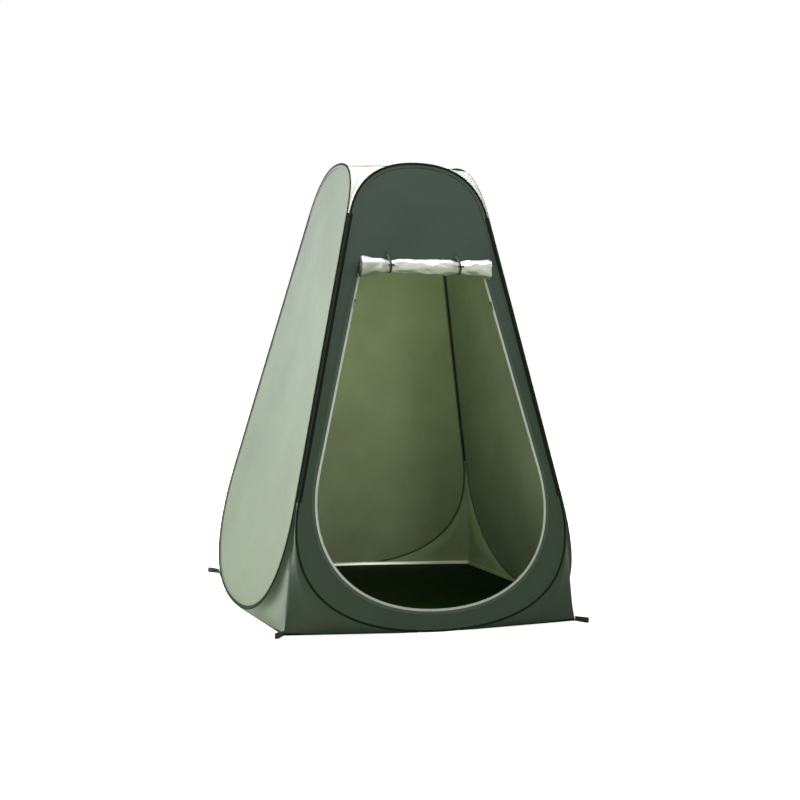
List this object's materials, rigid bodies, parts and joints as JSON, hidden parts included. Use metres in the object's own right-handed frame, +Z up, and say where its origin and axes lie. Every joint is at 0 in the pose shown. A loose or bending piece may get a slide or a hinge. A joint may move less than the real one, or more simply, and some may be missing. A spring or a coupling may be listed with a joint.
{
  "type": "privacy tent",
  "caption": "Tall square pop-up changing tent with leaning leaf-shaped spring-hoop walls, a teardrop doorway with its flap rolled up, corner gussets and a dark floor.",
  "frame": {"origin": "on the ground under the middle of the tent", "axes": "+Z up, the doorway faces -Y, +X is to the right of someone who looks in through the doorway"},
  "size_m": [1.377, 1.377, 1.8799],
  "materials": {
    "wall_cloth": "matt olive-green polyester, fine plain weave",
    "edge_tape": "dark green woven edge tape",
    "silver_cloth": "silver-coated polyester",
    "groundsheet": "dark coated groundsheet cloth",
    "bound_edge": "light green bound edge",
    "zip_tape": "grey-green woven zip tape",
    "zip_teeth": "grey nylon coil teeth",
    "slider_metal": "painted zinc slider",
    "webbing": "dark woven webbing",
    "toggle_plastic": "dark moulded plastic",
    "spring_steel": "plain spring steel, hidden in the sleeves"
  },
  "bodies": {
    "front_wall": {"front_wall_cloth": "wall_cloth", "front_sleeve": "edge_tape", "front_hoop_wire": "spring_steel", "front_hoop_ferrule": "spring_steel", "seam_cord_front_left": "edge_tape", "seam_cord_front_right": "edge_tape", "lower_gusset_front_left": "wall_cloth", "lower_gusset_front_right": "wall_cloth", "upper_gusset_front_left": "silver_cloth", "upper_gusset_front_right": "silver_cloth", "roof_cloth": "silver_cloth", "roof_edge_tape": "edge_tape", "groundsheet": "groundsheet", "groundsheet_upstand": "bound_edge", "zip_tape": "zip_tape", "zip_teeth": "zip_teeth", "door_roll": "silver_cloth", "tie_band_left": "webbing", "tie_band_right": "webbing"},
    "left_wall": {"left_wall_cloth": "wall_cloth", "left_sleeve": "edge_tape", "left_hoop_wire": "spring_steel", "left_hoop_ferrule": "spring_steel", "seam_cord_back_left": "edge_tape", "lower_gusset_back_left": "wall_cloth", "upper_gusset_back_left": "silver_cloth"},
    "back_wall": {"back_wall_cloth": "wall_cloth", "back_sleeve": "edge_tape", "back_hoop_wire": "spring_steel", "back_hoop_ferrule": "spring_steel", "lower_gusset_back_right_rear": "wall_cloth", "upper_gusset_back_right_rear": "silver_cloth"},
    "right_wall": {"right_wall_cloth": "wall_cloth", "right_sleeve": "edge_tape", "right_hoop_wire": "spring_steel", "right_hoop_ferrule": "spring_steel", "seam_cord_back_right": "edge_tape", "lower_gusset_back_right_side": "wall_cloth", "upper_gusset_back_right_side": "silver_cloth"},
    "left_zip_slider": {"zip_slider_left": "slider_metal"},
    "right_zip_slider": {"zip_slider_right": "slider_metal"},
    "left_zip_pull": {"zip_pull_left": "slider_metal"},
    "right_zip_pull": {"zip_pull_right": "slider_metal"},
    "left_tie_toggle": {"tie_toggle_left": "toggle_plastic"},
    "right_tie_toggle": {"tie_toggle_right": "toggle_plastic"},
    "front_left_peg_loop": {"peg_loop_front_left": "webbing"},
    "front_right_peg_loop": {"peg_loop_front_right": "webbing"},
    "back_left_peg_loop": {"peg_loop_back_left": "webbing"},
    "back_right_peg_loop": {"peg_loop_back_right": "webbing"}
  },
  "joints": [
    {"name": "left_wall_fold", "type": "hinge", "parent": "front_wall", "child": "left_wall", "pos_m": [-0.56258, -0.56258, 0.51683], "axis": [0.2163, 0.2163, 0.9521], "range_deg": [0, 87], "stiffness_Nm_per_rad": 2, "springref_deg": -28.65, "deforming": ["lower_gusset_front_left", "upper_gusset_front_left", "roof_cloth", "roof_edge_tape", "groundsheet", "groundsheet_upstand"]},
    {"name": "right_wall_fold", "type": "hinge", "parent": "front_wall", "child": "right_wall", "pos_m": [0.56258, -0.56258, 0.51683], "axis": [-0.2163, 0.2163, 0.9521], "range_deg": [0, 88.5], "deforming": ["lower_gusset_front_right", "upper_gusset_front_right", "lower_gusset_back_right_side", "upper_gusset_back_right_side"]},
    {"name": "back_wall_fold", "type": "hinge", "parent": "left_wall", "child": "back_wall", "pos_m": [-0.56258, 0.56258, 0.51683], "axis": [0.2163, -0.2163, 0.9521], "range_deg": [-88.5, 0], "deforming": ["lower_gusset_back_left", "upper_gusset_back_left", "lower_gusset_back_right_rear", "upper_gusset_back_right_rear"]},
    {"name": "left_zip_slide", "type": "slide", "parent": "front_wall", "child": "left_zip_slider", "axis": [-0.2407, -0.215, -0.9465], "range_m": [-0.03, 0.655]},
    {"name": "right_zip_slide", "type": "slide", "parent": "front_wall", "child": "right_zip_slider", "axis": [0.2407, -0.215, -0.9465], "range_m": [-0.03, 0.655]},
    {"name": "left_zip_pull_swing", "type": "hinge", "parent": "left_zip_slider", "child": "left_zip_pull", "pos_m": [-0.2947, -0.39406, 1.30664], "axis": [-0.9706, 0.0533, 0.2347], "range_deg": [0, 165]},
    {"name": "right_zip_pull_swing", "type": "hinge", "parent": "right_zip_slider", "child": "right_zip_pull", "pos_m": [0.2947, -0.39406, 1.30664], "axis": [-0.9706, -0.0533, -0.2347], "range_deg": [0, 165]},
    {"name": "left_toggle_turn", "type": "hinge", "parent": "front_wall", "child": "left_tie_toggle", "pos_m": [-0.15, -0.41551, 1.46837], "axis": [0, -0.9751, 0.2215], "range_deg": [-90, 90]},
    {"name": "right_toggle_turn", "type": "hinge", "parent": "front_wall", "child": "right_tie_toggle", "pos_m": [0.15, -0.41551, 1.46837], "axis": [0, -0.9751, 0.2215], "range_deg": [-90, 90]},
    {"name": "front_left_loop_swing", "type": "hinge", "parent": "front_wall", "child": "front_left_peg_loop", "pos_m": [-0.622, -0.622, 0], "axis": [0, 0, 1], "range_deg": [-45, 45]},
    {"name": "front_right_loop_swing", "type": "hinge", "parent": "front_wall", "child": "front_right_peg_loop", "pos_m": [0.622, -0.622, 0], "axis": [0, 0, 1], "range_deg": [-45, 45]},
    {"name": "back_left_loop_swing", "type": "hinge", "parent": "left_wall", "child": "back_left_peg_loop", "pos_m": [-0.622, 0.622, 0], "axis": [0, 0, 1], "range_deg": [-45, 45]},
    {"name": "back_right_loop_swing", "type": "hinge", "parent": "right_wall", "child": "back_right_peg_loop", "pos_m": [0.622, 0.622, 0], "axis": [0, 0, 1], "range_deg": [-45, 45]}
  ],
  "couplings": [
    {"joint": "right_wall_fold", "follows": "left_wall_fold", "ratio": 1.003},
    {"joint": "back_wall_fold", "follows": "left_wall_fold", "ratio": -1.003}
  ]
}
